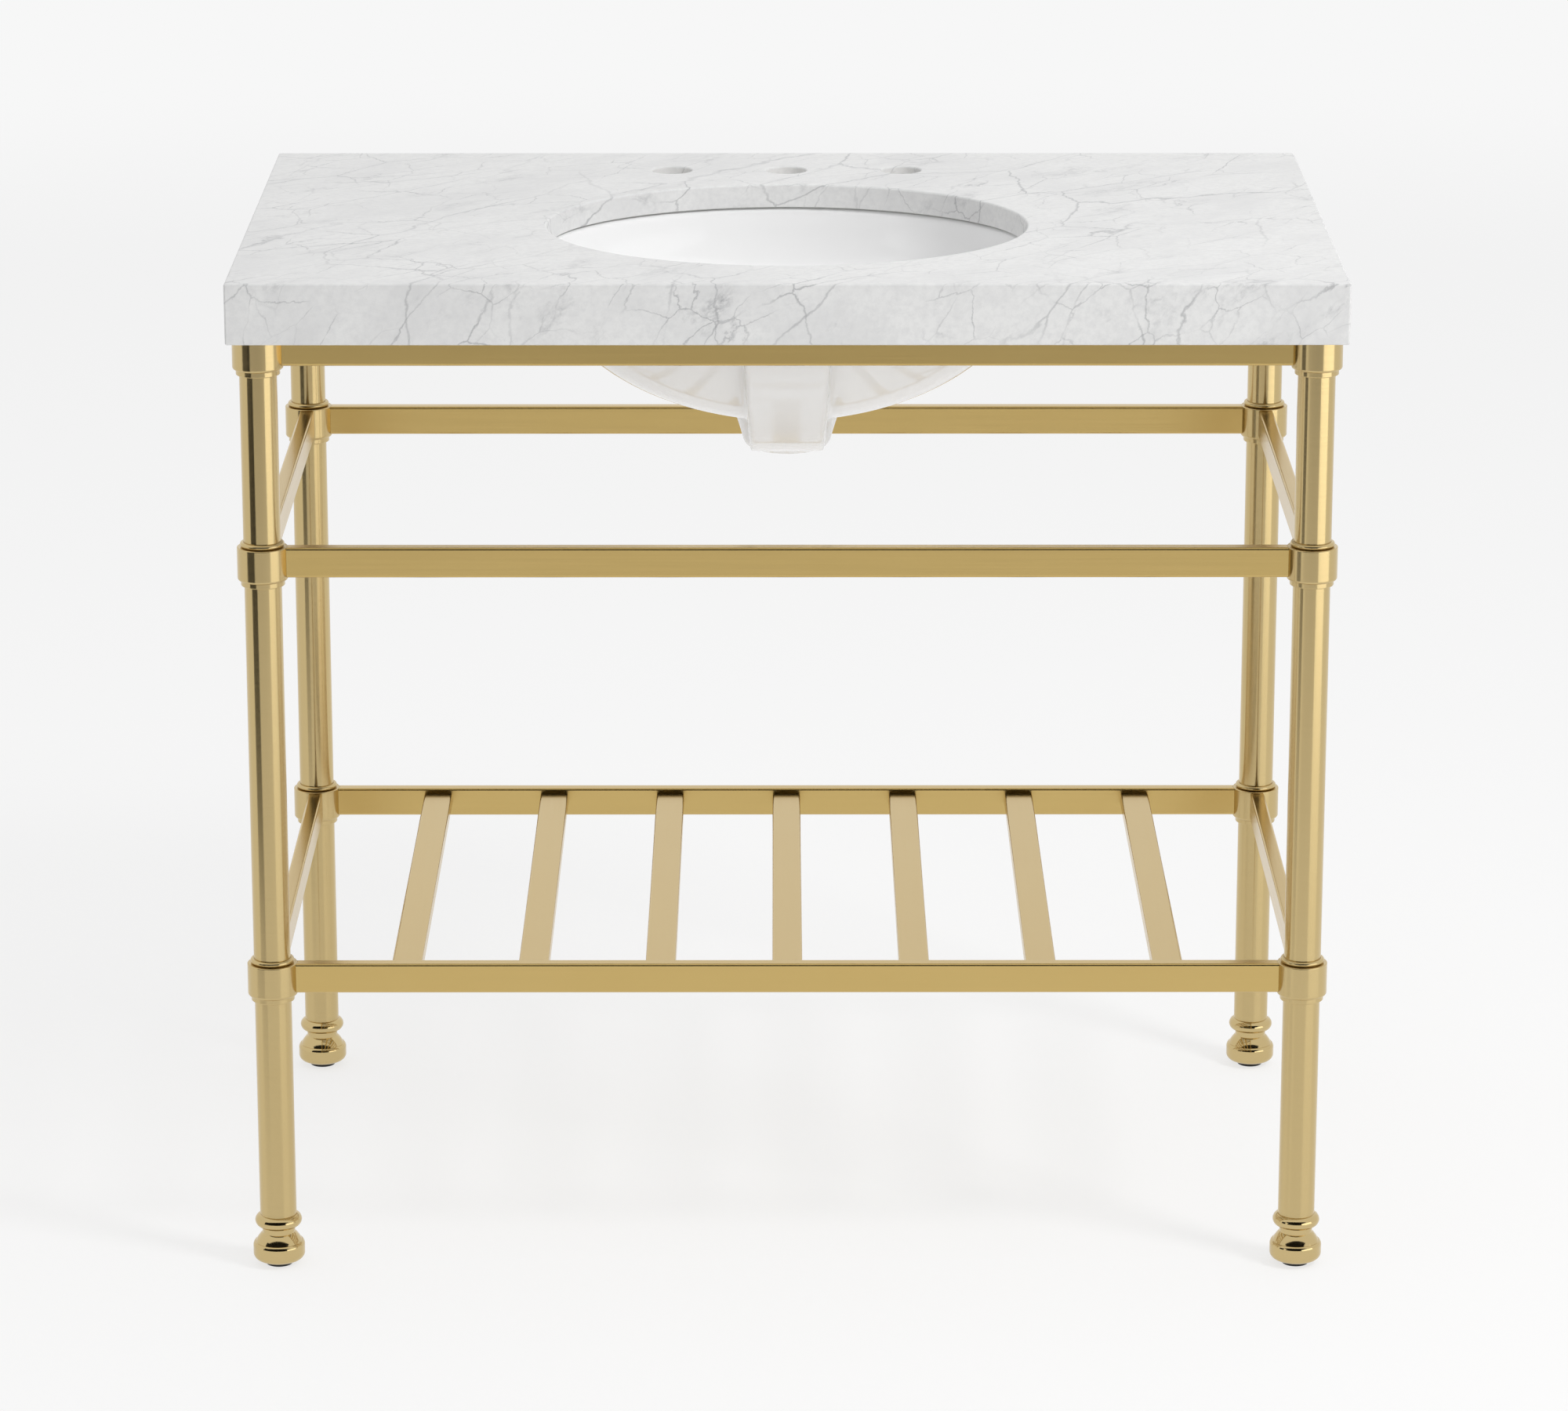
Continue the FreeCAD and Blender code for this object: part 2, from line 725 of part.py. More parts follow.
def make_strip(number):
    """A strip under the slab's edge; the front and back ones run the full width."""
    full = SIDES[number] in ("front", "back")
    width = size("strip_width")
    length = size("top_width") if full else size("top_depth") - width * 2
    height = size("edge_height") - size("slab_thickness")
    section = [(as_size(0), as_size(0)), (width, as_size(0)), (width, height), (as_size(0), height)]
    strip = bar(f"strip_{SIDES[number]}", length, [section])

    def outer(edge_box):
        at_face = edge_box.YMax < touch
        at_bottom = edge_box.ZMax < touch
        at_end = full and (edge_box.XMax < touch or edge_box.XMin > length.number - touch)
        return at_face + at_bottom + at_end >= 2

    round_edges(strip, size("arris_radius"), outer)
    half_width = size("top_width") / 2
    half_depth = size("top_depth") / 2
    starts = [
        (-half_width, -half_depth), (half_width, width - half_depth),
        (half_width, half_depth), (-half_width, half_depth - width),
    ]
    across, back = starts[number]
    keep(place(strip, across, back, strip_bottom, number * QUARTER_TURN), f"marble_edge_{SIDES[number]}")


def make_bumpers():
    """Clear bumpers between the top rails and the marble."""
    bumpers = []
    for number, (across, back) in enumerate(corner_places):
        next_across, next_back = corner_places[(number + 1) % len(corner_places)]
        for share in BUMPER_SHARES:
            x = across + (next_across - across) * share
            y = back + (next_back - back) * share
            name = f"bumper_{SIDES[number]}_{len(bumpers)}"
            bumpers.append(cylinder(name, size("bumper_radius"), size("bumper_height"), x, y, stand_top))
    group("slab_bumpers", bumpers)


# Basin: a china bowl under the slab, with a drain boss and an overflow channel at the front

def boss_corners():
    """The drain boss below the bowl, tapering to a rounded foot."""
    low = -size("bowl_depth") - size("boss_drop")
    foot = size("boss_bottom_radius")
    bend = size("boss_round")
    high = size("bowl_wall") - size("bowl_depth")
    return [
        (0, low), (foot - bend, low, bend), (foot, low + bend),
        (size("boss_top_radius"), high), (0, high),
    ]


def channel_block(name, corners, margin):
    """A side view drawn in (back, up) corners, as wide as the channel and narrowing downwards."""
    half_top = size("channel_top_width") / 2 - margin
    half_bottom = size("channel_bottom_width") / 2 - margin
    depth = size("bowl_depth") + size("channel_drop")
    front = -bowl_half_depth - size("channel_depth")
    block = place(bar(f"{name}_block", half_top * 2, [corners]), -half_top)
    trim = doc.addObject("Part::Wedge", f"{name}_trim")
    bind(trim, Xmin=-half_top, Xmax=half_top, X2min=-half_bottom, X2max=half_bottom)
    bind(trim, Ymin=0, Ymax=depth, Zmin=front, Z2min=front, Zmax=0, Z2max=0)
    trim.Placement.Rotation = FreeCAD.Rotation(FreeCAD.Vector(1, 0, 0), -QUARTER_TURN)
    return common(name, block, trim)


def bowl_shell(name, grow):
    """The bowl's outer surface, grown all round."""
    return lower_ellipsoid(
        name, bowl_half_width + grow, bowl_half_depth + grow, size("bowl_depth") + grow)


def make_basin():
    flange_low = -size("flange_thickness")
    front = -bowl_half_depth - size("channel_depth")
    low = -size("bowl_depth") - size("channel_drop")
    channel_end = -size("drain_radius") - size("channel_wall")
    straight = -size("channel_straight")
    bend = size("channel_round")
    flange = oval_plate(
        "basin_flange", bowl_half_width + size("flange_width"),
        bowl_half_depth + size("flange_width"), size("flange_thickness"), flange_low)
    channel = channel_block("basin_channel", [
        (0, 0), (front, 0), (front, straight, bend), (channel_end, low), (0, low)], as_size(0))
    solid = fuse("basin_solid", [
        bowl_shell("basin_outside", as_size(0)), flange, turned("basin_boss", boss_corners()), channel])

    # The hollow channel, its mouth in the bowl's front wall and its slot into the drain
    wall = size("channel_wall")
    hollow = size("channel_depth") - wall
    channel_top = flange_low - wall
    passage = cut("basin_passage", channel_block("basin_passage_band", [
        (channel_end, channel_top), (front + wall, channel_top),
        (front + wall, straight, bend - wall), (channel_end, low + wall)], wall),
        bowl_shell("basin_passage_back", as_size(0)))
    slot_width = size("overflow_slot_width")
    slot = box("basin_slot", slot_width, -channel_end + size("overrun"), hollow,
               -slot_width / 2, channel_end - size("overrun"), -size("bowl_depth") - hollow)
    wall_share = math.sqrt(1 - OVERFLOW_DEPTH_SHARE ** 2)
    mouth = cross_pin(
        "basin_overflow_hole", size("overflow_hole_radius"), size("bowl_wall") * 2 + hollow, 0,
        -(bowl_half_depth + hollow / 2) * wall_share, -size("bowl_depth") * OVERFLOW_DEPTH_SHARE)

    drain = cylinder("basin_drain", size("drain_radius"), size("bowl_depth") + size("boss_drop"),
                     0, 0, -size("bowl_depth") - size("boss_drop"))
    spaces = fuse("basin_spaces", [
        bowl_shell("basin_inside", -size("bowl_wall")), drain, passage, slot, mouth])
    basin = cut("basin", solid, spaces)
    keep(place(basin, 0, basin_back, basin_top), "basin")


def make_seal():
    """A silicone ring between the basin's flange and the slab."""
    rim = size("flange_width") - size("seal_margin")
    outer = oval_plate("seal_outside", bowl_half_width + rim, bowl_half_depth + rim,
                       size("seal_thickness"))
    inner = oval_plate("seal_inside", size("cutout_half_width") + size("seal_margin"),
                       cutout_half_depth + size("seal_margin"), size("seal_thickness"))
    keep(place(cut("seal", outer, inner), 0, basin_back, basin_top), "basin_seal")


def make_clips():
    """Bent clips screwed under the slab, whose tongues hold the basin's flange up."""
    clips = []
    screws = []
    thickness = size("clip_thickness")
    width = size("clip_width")
    tongue_low = -size("seal_thickness") - size("flange_thickness") - thickness
    for share in CLIP_ROW_SHARES:
        for side, turn in (("right", 0), ("left", 2 * QUARTER_TURN)):
            name = f"clip_{side}_{CLIP_ROW_SHARES.index(share)}"
            riser = clip_edge(share) + size("clip_gap")
            tongue_start = clip_edge(share) - size("clip_reach")
            front = clip_row(share) - width / 2
            foot_length = size("clip_foot") + thickness
            tongue_length = riser + thickness - tongue_start
            parts = [
                box(f"{name}_foot", foot_length, width, thickness, riser, front, -thickness),
                box(f"{name}_riser", thickness, width, -tongue_low, riser, front, tongue_low),
                box(f"{name}_tongue", tongue_length, width, thickness, tongue_start, front, tongue_low),
            ]
            across = clip_screw_across(share)
            hole_radius = size("clip_screw_radius") + size("screw_fit")
            hole = cylinder(f"{name}_hole", hole_radius, thickness, across, clip_row(share), -thickness)
            clip = cut(name, fuse(f"{name}_solid", parts), hole)
            clips.append(place(clip, 0, basin_back, slab_bottom, turn))
            head_low = -thickness - size("clip_head_height")
            head = cylinder(f"{name}_head", size("clip_head_radius"), size("clip_head_height"),
                            across, clip_row(share), head_low)
            shank = cylinder(f"{name}_shank", size("clip_screw_radius"), size("clip_screw_length"),
                             across, clip_row(share), -thickness)
            screw = fuse(f"{name}_screw", [head, shank])
            screws.append(place(screw, 0, basin_back, slab_bottom, turn))
    group("basin_clips", clips)
    group("clip_screws", screws)


def check():
    """Stop if any object failed to compute, or any sub-part has no sound solid."""
    for thing in doc.Objects:
        if "Invalid" in thing.State or "Error" in thing.State:
            raise RuntimeError(f"{thing.Name} did not compute")
    for piece in pieces:
        if piece.Shape.isNull() or not piece.Shape.isValid() or not piece.Shape.Solids:
            raise RuntimeError(f"{piece.Label} is not a sound solid")


for corner, (across, back) in zip(CORNERS, corner_places):
    make_leg(corner, across, back)
for level in levels:
    for number in range(len(CORNERS)):
        make_collar(level, number)
        make_rail(level, number)
make_rail_screws()
make_slats()
make_slat_plugs()
make_slab()
for number in range(len(SIDES)):
    make_strip(number)
make_bumpers()
make_basin()
make_seal()
make_clips()
doc.recompute()
check()

os.makedirs("parts", exist_ok=True)
for piece in pieces:
    piece.Shape.exportStep(f"parts/{piece.Label}.step")
print(len(pieces), "sub-parts")
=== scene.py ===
import math

import bmesh
import bpy
from bpy.props import FloatProperty, FloatVectorProperty, IntProperty, PointerProperty
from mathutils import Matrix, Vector


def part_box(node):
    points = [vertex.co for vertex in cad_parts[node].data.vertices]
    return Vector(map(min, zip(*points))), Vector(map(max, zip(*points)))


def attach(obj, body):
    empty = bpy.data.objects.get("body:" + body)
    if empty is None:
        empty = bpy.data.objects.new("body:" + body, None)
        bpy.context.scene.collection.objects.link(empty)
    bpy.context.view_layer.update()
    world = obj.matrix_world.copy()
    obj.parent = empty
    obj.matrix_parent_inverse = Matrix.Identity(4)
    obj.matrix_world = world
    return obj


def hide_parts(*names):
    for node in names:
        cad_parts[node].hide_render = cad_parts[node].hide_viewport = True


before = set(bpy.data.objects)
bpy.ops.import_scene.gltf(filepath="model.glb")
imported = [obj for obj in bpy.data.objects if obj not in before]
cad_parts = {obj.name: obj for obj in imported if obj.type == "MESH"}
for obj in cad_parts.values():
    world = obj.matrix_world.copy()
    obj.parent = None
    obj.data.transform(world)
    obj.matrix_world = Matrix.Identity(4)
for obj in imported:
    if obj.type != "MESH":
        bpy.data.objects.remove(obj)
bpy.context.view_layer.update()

# Looks of a single sink vanity: a brass console stand, a marble top and a china basin.
# Lengths are in metres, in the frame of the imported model: +X right, +Y to the wall, +Z up.

bl_info = {
    "name": "Single sink vanity",
    "version": (1, 0, 0),
    "blender": (4, 5, 0),
    "location": "View3D > Sidebar > Vanity",
    "description": "Gives a console vanity its brass, marble and china, and sets a plain studio round it",
    "category": "Object",
}

MM = 0.001
CORNERS = ("front_left", "front_right", "back_right", "back_left")
ROUND_STEPS = 36
RINGS_PER_THREAD_TURN = 6
WELD_DISTANCE = 0.001 * MM


# Settings

def linear(hex_colour):
    """Turn an sRGB hex colour into linear red, green and blue."""
    shares = [int(hex_colour[start:start + 2], 16) / 255 for start in (1, 3, 5)]
    return tuple(s / 12.92 if s <= 0.04045 else ((s + 0.055) / 1.055) ** 2.4 for s in shares)


def colour_property(name, description, hex_colour):
    return FloatVectorProperty(
        name=name, description=description, subtype="COLOR", size=3, min=0.0, max=1.0,
        default=linear(hex_colour))


def length_property(name, description, millimetres):
    return FloatProperty(
        name=name, description=description, subtype="DISTANCE", unit="LENGTH", min=0.0,
        default=millimetres * MM)


def share_property(name, description, share):
    return FloatProperty(
        name=name, description=description, subtype="FACTOR", min=0.0, max=1.0, default=share)


def place_property(name, description, place):
    return FloatVectorProperty(
        name=name, description=description, subtype="TRANSLATION", unit="LENGTH", default=place)


def angle_property(name, description, radians):
    return FloatProperty(name=name, description=description, subtype="ANGLE", default=radians)


def power_property(name, description, watts):
    return FloatProperty(name=name, description=description, unit="POWER", min=0.0, default=watts)


def strength_property(name, description, strength):
    return FloatProperty(name=name, description=description, min=0.0, default=strength)


class BrassLooks(bpy.types.PropertyGroup):
    """Brass of the stand and its feet."""

    satin_colour: colour_property("Satin brass", "Colour of the brushed rails and slats", "#CBB071")
    turned_colour: colour_property("Turned brass", "Colour of the tubes, collars and feet", "#CBB583")
    patch_share: share_property("Patches", "How much deeper the deeper patches are", 0.12)
    satin_roughness: share_property("Satin roughness", "Roughness of the brushed rails and slats", 0.22)
    turned_roughness: share_property("Turned roughness", "Roughness of the tubes and collars", 0.22)
    turning: share_property("Turning", "How far turning draws reflections out along the axis", 0.85)
    polished_roughness: share_property("Polished roughness", "Roughness of the feet", 0.10)
    roughness_spread: share_property("Roughness spread", "How far brush lines change the roughness", 0.02)
    lacquer: share_property("Lacquer", "Weight of the clear lacquer over the brass", 0.08)
    lacquer_roughness: share_property("Lacquer roughness", "Roughness of the clear lacquer", 0.08)
    brush_width: length_property("Brush line", "Width of one brush line", 1.6)
    brush_length: length_property("Brush stroke", "Length of one brush line", 140.0)
    brush_depth: length_property("Brush depth", "Depth of a brush line", 0.003)
    patch_size: length_property("Patch", "Size of the deeper patches", 60.0)


class MarbleLooks(bpy.types.PropertyGroup):
    """Marble of the top."""

    colour: colour_property("Marble", "Colour of the clear stone", "#E8E8E7")
    cloud_colour: colour_property("Cloud", "Colour of the soft grey clouds", "#D8D8D8")
    vein_colour: colour_property("Vein", "Colour of the veins and flecks", "#9C9D9F")
    vein_spacing: length_property("Vein spacing", "Usual distance between main veins", 150.0)
    vein_width: length_property("Vein width", "Width of a main vein", 1.4)
    cloud_size: length_property("Cloud size", "Size of the grey clouds", 80.0)
    smudge_size: length_property("Smudge size", "Size of the places where flecks gather", 45.0)
    fleck_size: length_property("Fleck size", "Size of the small grey flecks", 4.5)
    wander: length_property("Wander", "How far veins stray from straight lines", 50.0)
    sheet_turn: FloatVectorProperty(
        name="Sheet turn", description="How the sheets of veins lie in the stone", subtype="EULER",
        unit="ROTATION", default=(0.56, 0.0, 0.78))
    sheet_stretch: FloatVectorProperty(
        name="Sheet stretch", description="How far veins are drawn out along and across their sheets",
        subtype="XYZ", default=(1.7, 0.8, 1.4))
    roughness: share_property("Roughness", "Roughness of the honed stone", 0.30)
    roughness_spread: share_property("Roughness spread", "How far crystals change the roughness", 0.05)
    grain: length_property("Grain", "Size at which the stone's crystals are drawn", 1.6)
    grain_depth: length_property("Grain depth", "Depth of the stone's texture", 0.01)


class ChinaLooks(bpy.types.PropertyGroup):
    """Glazed china of the basin."""

    colour: colour_property("China", "Colour of the glaze", "#F5F5F5")
    roughness: share_property("Roughness", "Roughness of the glaze", 0.07)
    voxel: length_property("Mesh size", "Face size of the basin's mesh", 2.2)
    soften_share: share_property("Soften", "How far one step smooths the edges of the clay", 0.5)
    soften_steps: IntProperty(
        name="Soften steps", description="How often the edges of the clay are smoothed", min=0, default=14)
    ripple: length_property("Ripple", "Length of the glaze's slow ripple", 28.0)
    ripple_depth: length_property("Ripple depth", "Depth of the glaze's slow ripple", 0.03)


class HardwareLooks(bpy.types.PropertyGroup):
    """Glides, screws, clips, plugs and seals."""

    rubber_colour: colour_property("Rubber", "Colour of the glide pads", "#1B1A19")
    rubber_roughness: share_property("Rubber roughness", "Roughness of the glide pads", 0.55)
    rubber_texture: length_property("Rubber texture", "Size at which the mould's texture is drawn", 1.2)
    rubber_depth: length_property("Rubber depth", "Depth of the mould's texture", 0.03)
    nylon_colour: colour_property("Nylon", "Colour of the slat plugs", "#222222")
    nylon_roughness: share_property("Nylon roughness", "Roughness of the slat plugs", 0.45)
    nylon_texture: length_property("Nylon texture", "Size at which the mould's texture is drawn", 1.5)
    nylon_depth: length_property("Nylon depth", "Depth of the mould's texture", 0.02)
    zinc_colour: colour_property("Zinc", "Colour of the plated clips and screws", "#B9BABB")
    zinc_roughness: share_property("Zinc roughness", "Roughness of the plated clips and screws", 0.34)
    zinc_texture: length_property("Zinc texture", "Size at which the plating's grain is drawn", 2.0)
    zinc_depth: length_property("Zinc depth", "Depth of the plating's grain", 0.01)
    silicone_colour: colour_property("Silicone", "Colour of the seal and bumpers", "#D9DAD6")
    silicone_roughness: share_property("Silicone roughness", "Roughness of the seal and bumpers", 0.38)
    silicone_texture: length_property("Silicone waves", "Length of the bead's slow waves", 4.0)
    silicone_depth: length_property("Silicone depth", "Depth of the bead's slow waves", 0.05)
    thread_pitch: length_property("Thread pitch", "Rise of one turn of a stem's thread", 1.25)
    thread_depth: length_property("Thread depth", "Depth of a stem's thread", 0.6)
    socket: length_property("Hex socket", "Width of a grub screw's socket across its flats", 2.0)
    head_socket: length_property("Head socket", "Width of a clip screw's socket across its flats", 3.0)
    socket_depth: length_property("Socket depth", "Depth of a screw's socket", 1.6)
    chamfer: length_property("Chamfer", "Width of the chamfers on a grub screw", 0.4)
    head_chamfer: length_property("Head chamfer", "Width of the chamfers on a clip screw", 0.8)


class StageLooks(bpy.types.PropertyGroup):
    """Floor, lights and camera."""

    camera_place: place_property("Camera", "Where the camera stands", (-0.0092, -5.0826, 1.8706))
    camera_tilt: angle_property("Tilt", "How far the camera looks down", 0.27785)
    camera_pan: angle_property("Pan", "How far the camera looks right", 0.00132)
    lens: FloatProperty(
        name="Lens", description="Focal length of the camera's lens", unit="CAMERA", default=138.64)
    sensor: FloatProperty(
        name="Sensor", description="Width of the camera's sensor", unit="CAMERA", default=36.0)
    background: colour_property("Background", "Colour of the plain backdrop", "#F7F7F7")
    floor_colour: colour_property("Floor colour", "Colour of the matte floor", "#F4F4F4")
    shadow_colour: colour_property(
        "Floor shadow", "How much of the floor's look comes from its lighting", "#909090")
    floor_glow: share_property("Floor glow", "Share of the backdrop's colour in the floor's look", 0.76)
    floor_radius: length_property("Floor radius", "How far the floor reaches", 5600.0)
    floor_fade: length_property("Floor fade", "Where the floor starts to fade out", 3900.0)
    # The flags and the strip are painted reflections: panels that only reflections see, laying dark and
    # bright bands on the brass.
    flag_colour: colour_property("Flags", "Colour of the dark cloth that the brass reflects", "#161514")
    strip_glow: strength_property("Strip", "Brightness of the upright panel that the tubes reflect", 1.5)
    ambient: strength_property("Ambient", "Strength of the light from all round", 0.58)
    overhead_power: power_property("Overhead", "Power of the large soft light above", 14.0)
    overhead_place: place_property("Overhead place", "Where the light above hangs", (0.3, -0.2, 3.4))
    overhead_width: length_property("Overhead width", "Width of the square light above", 4000.0)
    key_power: power_property("Key", "Power of the soft light high at the right", 54.0)
    key_place: place_property("Key place", "Where the light at the right hangs", (2.3, -1.7, 3.0))
    key_target: place_property("Key target", "Point that the light at the right faces", (0.0, 0.0, 0.8))
    key_width: length_property("Key width", "Width of the square light at the right", 800.0)
    fill_power: power_property("Fill", "Power of the reflector on the floor in front", 3.0)
    fill_place: place_property("Fill place", "Where the reflector lies", (0.0, -0.7, 0.02))
    fill_width: length_property("Fill width", "Width of the reflector", 1800.0)
    fill_depth: length_property("Fill depth", "Depth of the reflector from front to back", 900.0)


# Building nodes and meshes

def add_node(tree, kind, inputs=None, **settings):
    """Add a node with its settings; each input is a value, or an output to link."""
    node = tree.nodes.new(kind)
    for name, value in settings.items():
        setattr(node, name, value)
    for key, value in (inputs or {}).items():
        if isinstance(value, bpy.types.NodeSocket):
            tree.links.new(value, node.inputs[key])
        else:
            node.inputs[key].default_value = value
    return node


def start_material(name):
    """A new material, its tree, its shader and the place on the object in metres."""
    material = bpy.data.materials.new(name)
    material.use_nodes = True
    tree = material.node_tree
    place = add_node(tree, "ShaderNodeTexCoord").outputs["Object"]
    return material, tree, tree.nodes["Principled BSDF"], place


def opaque(colour):
    """A colour with the fourth channel that sockets ask for."""
    return (*colour, 1.0)


def dress(names, material):
    """Give CAD nodes a material."""
    for name in names:
        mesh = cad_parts[name].data
        mesh.materials.clear()
        mesh.materials.append(material)


def named(*starts):
    """CAD nodes whose names start with one of these."""
    found = sorted(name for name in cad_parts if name.startswith(starts))
    if not found:
        raise LookupError(f"no CAD node's name starts with {' or '.join(starts)}")
    return found


def welded(node):
    """A CAD node's mesh with its split corners joined, as a bmesh."""
    shape = bmesh.new()
    shape.from_mesh(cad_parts[node].data)
    bmesh.ops.remove_doubles(shape, verts=shape.verts, dist=WELD_DISTANCE)
    return shape


def solid_boxes(node):
    """The lowest and highest corner of each separate solid in a CAD node."""
    shape = welded(node)
    waiting = set(shape.verts)
    boxes = []
    while waiting:
        group = [waiting.pop()]
        for vert in group:
            for edge in vert.link_edges:
                other = edge.other_vert(vert)
                if other in waiting:
                    waiting.remove(other)
                    group.append(other)
        places = [vert.co for vert in group]
        low = Vector([min(p[axis] for p in places) for axis in range(3)])
        high = Vector([max(p[axis] for p in places) for axis in range(3)])
        boxes.append((low, high))
    shape.free()
    return sorted(boxes, key=lambda box: tuple(box[0]))


def add_rings(shape, rings):
    """Skin a closed solid through rings of points, each ring with as many points as the last."""
    skins = [[shape.verts.new(point) for point in ring] for ring in rings]
    for lower, upper in zip(skins, skins[1:]):
        for step in range(len(lower)):
            after = (step + 1) % len(lower)
            shape.faces.new((lower[step], lower[after], upper[after], upper[step]))
    shape.faces.new(reversed(skins[0]))
    shape.faces.new(skins[-1])


def shaped_ring(centre, height, reach):
    """A level ring of points; reach is a function that gives its distance from the centre at an angle."""
    points = []
    for step in range(ROUND_STEPS):
        angle = 2 * math.pi * step / ROUND_STEPS
        away = reach(angle)
        points.append((centre.x + away * math.cos(angle), centre.y + away * math.sin(angle), height))
    return points


def round_ring(centre, radius, height):
    return shaped_ring(centre, height, lambda angle: radius)


def hex_ring(centre, across_flats, height):
    """A ring that follows a hexagon."""
    sixth = math.pi / 3
    return shaped_ring(
        centre, height, lambda angle: across_flats / 2 / math.cos(angle % sixth - sixth / 2))


def thread_rings(low, high, hardware):
    """Rings of a rod with a screw thread, as wide and long as the box and chamfered at both ends."""
    centre = (low + high) / 2
    radius = (high.x - low.x) / 2
    pitch, depth = hardware.thread_pitch, hardware.thread_depth
    count = math.ceil((high.z - low.z) / pitch * RINGS_PER_THREAD_TURN)
    rings = []
    for number in range(count + 1):
        height = low.z + (high.z - low.z) * number / count
        to_end = min(height - low.z, high.z - height)
        limit = radius - max(depth - to_end, 0)

        def reach(angle):
            groove = abs(2 * ((height / pitch - angle / (2 * math.pi)) % 1) - 1)
            return min(radius - depth * groove, limit)

        rings.append(shaped_ring(centre, height, reach))
    return rings


def screw_rings(low, high, socket, socket_depth, chamfer, head=None):
    """Rings of a screw in a box, with a hexagon socket in its lower end.

    A screw with a head also needs the height of the head and the radius of the shank above it.
    """
    centre = (low + high) / 2
    radius = (high.x - low.x) / 2
    rings = [
        hex_ring(centre, socket, low.z + socket_depth),
        hex_ring(centre, socket, low.z),
        round_ring(centre, radius - chamfer, low.z),
        round_ring(centre, radius, low.z + chamfer),
    ]
    if head:
        head_height, shank_radius = head
        shoulder = low.z + head_height
        rings += [round_ring(centre, radius, shoulder), round_ring(centre, shank_radius, shoulder)]
        radius = shank_radius
    rings += [round_ring(centre, radius, high.z - chamfer), round_ring(centre, radius - chamfer, high.z)]
    return rings


def screw_head(node):
    """Height of a screw's head and radius of its shank, read from the first screw of a CAD node."""
    top_slack = 0.01 * MM
    least_head_share = 1.2
    low, high = solid_boxes(node)[0]
    centre = (low + high) / 2
    shape = welded(node)
    own = [v.co for v in shape.verts if low.x <= v.co.x <= high.x and low.y <= v.co.y <= high.y]
    away = [(co.z, math.hypot(co.x - centre.x, co.y - centre.y)) for co in own]
    shank_radius = max(reach for z, reach in away if z > high.z - top_slack)
    head_top = max(z for z, reach in away if reach > shank_radius * least_head_share)
    shape.free()
    return head_top - low.z, shank_radius


def finish_piece(shape, name, material, body, replaced):
    """Turn a bmesh into a piece that rides on a body and stands for CAD nodes."""
    bmesh.ops.recalc_face_normals(shape, faces=shape.faces)
    mesh = bpy.data.meshes.new(name)
    shape.to_mesh(mesh)
    shape.free()
    mesh.materials.append(material)
    piece = bpy.data.objects.new(name, mesh)
    bpy.context.scene.collection.objects.link(piece)
    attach(piece, body)
    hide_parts(*replaced)
    return piece


# Materials

# Sockets of a node that mixes two colours: how much of the upper one, the lower, the upper, the result
MIX_SHARE, MIX_LOWER, MIX_UPPER, MIX_RESULT = 0, 6, 7, 2

# Power that turns the brass colour into that of its deepest patches
DEEPEST_PATCH_POWER = 1.5
QUARTER_TURN = 0.25

# Each web of veins: its spacing and its width as shares of the main one's, and how strongly it shows
VEIN_WEB_SHARES = ((1.0, 1.0, 0.65), (0.5, 0.7, 0.65), (0.25, 0.5, 0.6))
# Size of the patches in which a web shows, as a share of its spacing
VEIN_PATCH_SHARE = 1.25

# How far the texture of a one-coloured surface changes its roughness, as a share of it
TEXTURE_ROUGHNESS_SHARE = 0.2
MARBLE_IOR = 1.49
SILICONE_IOR = 1.41


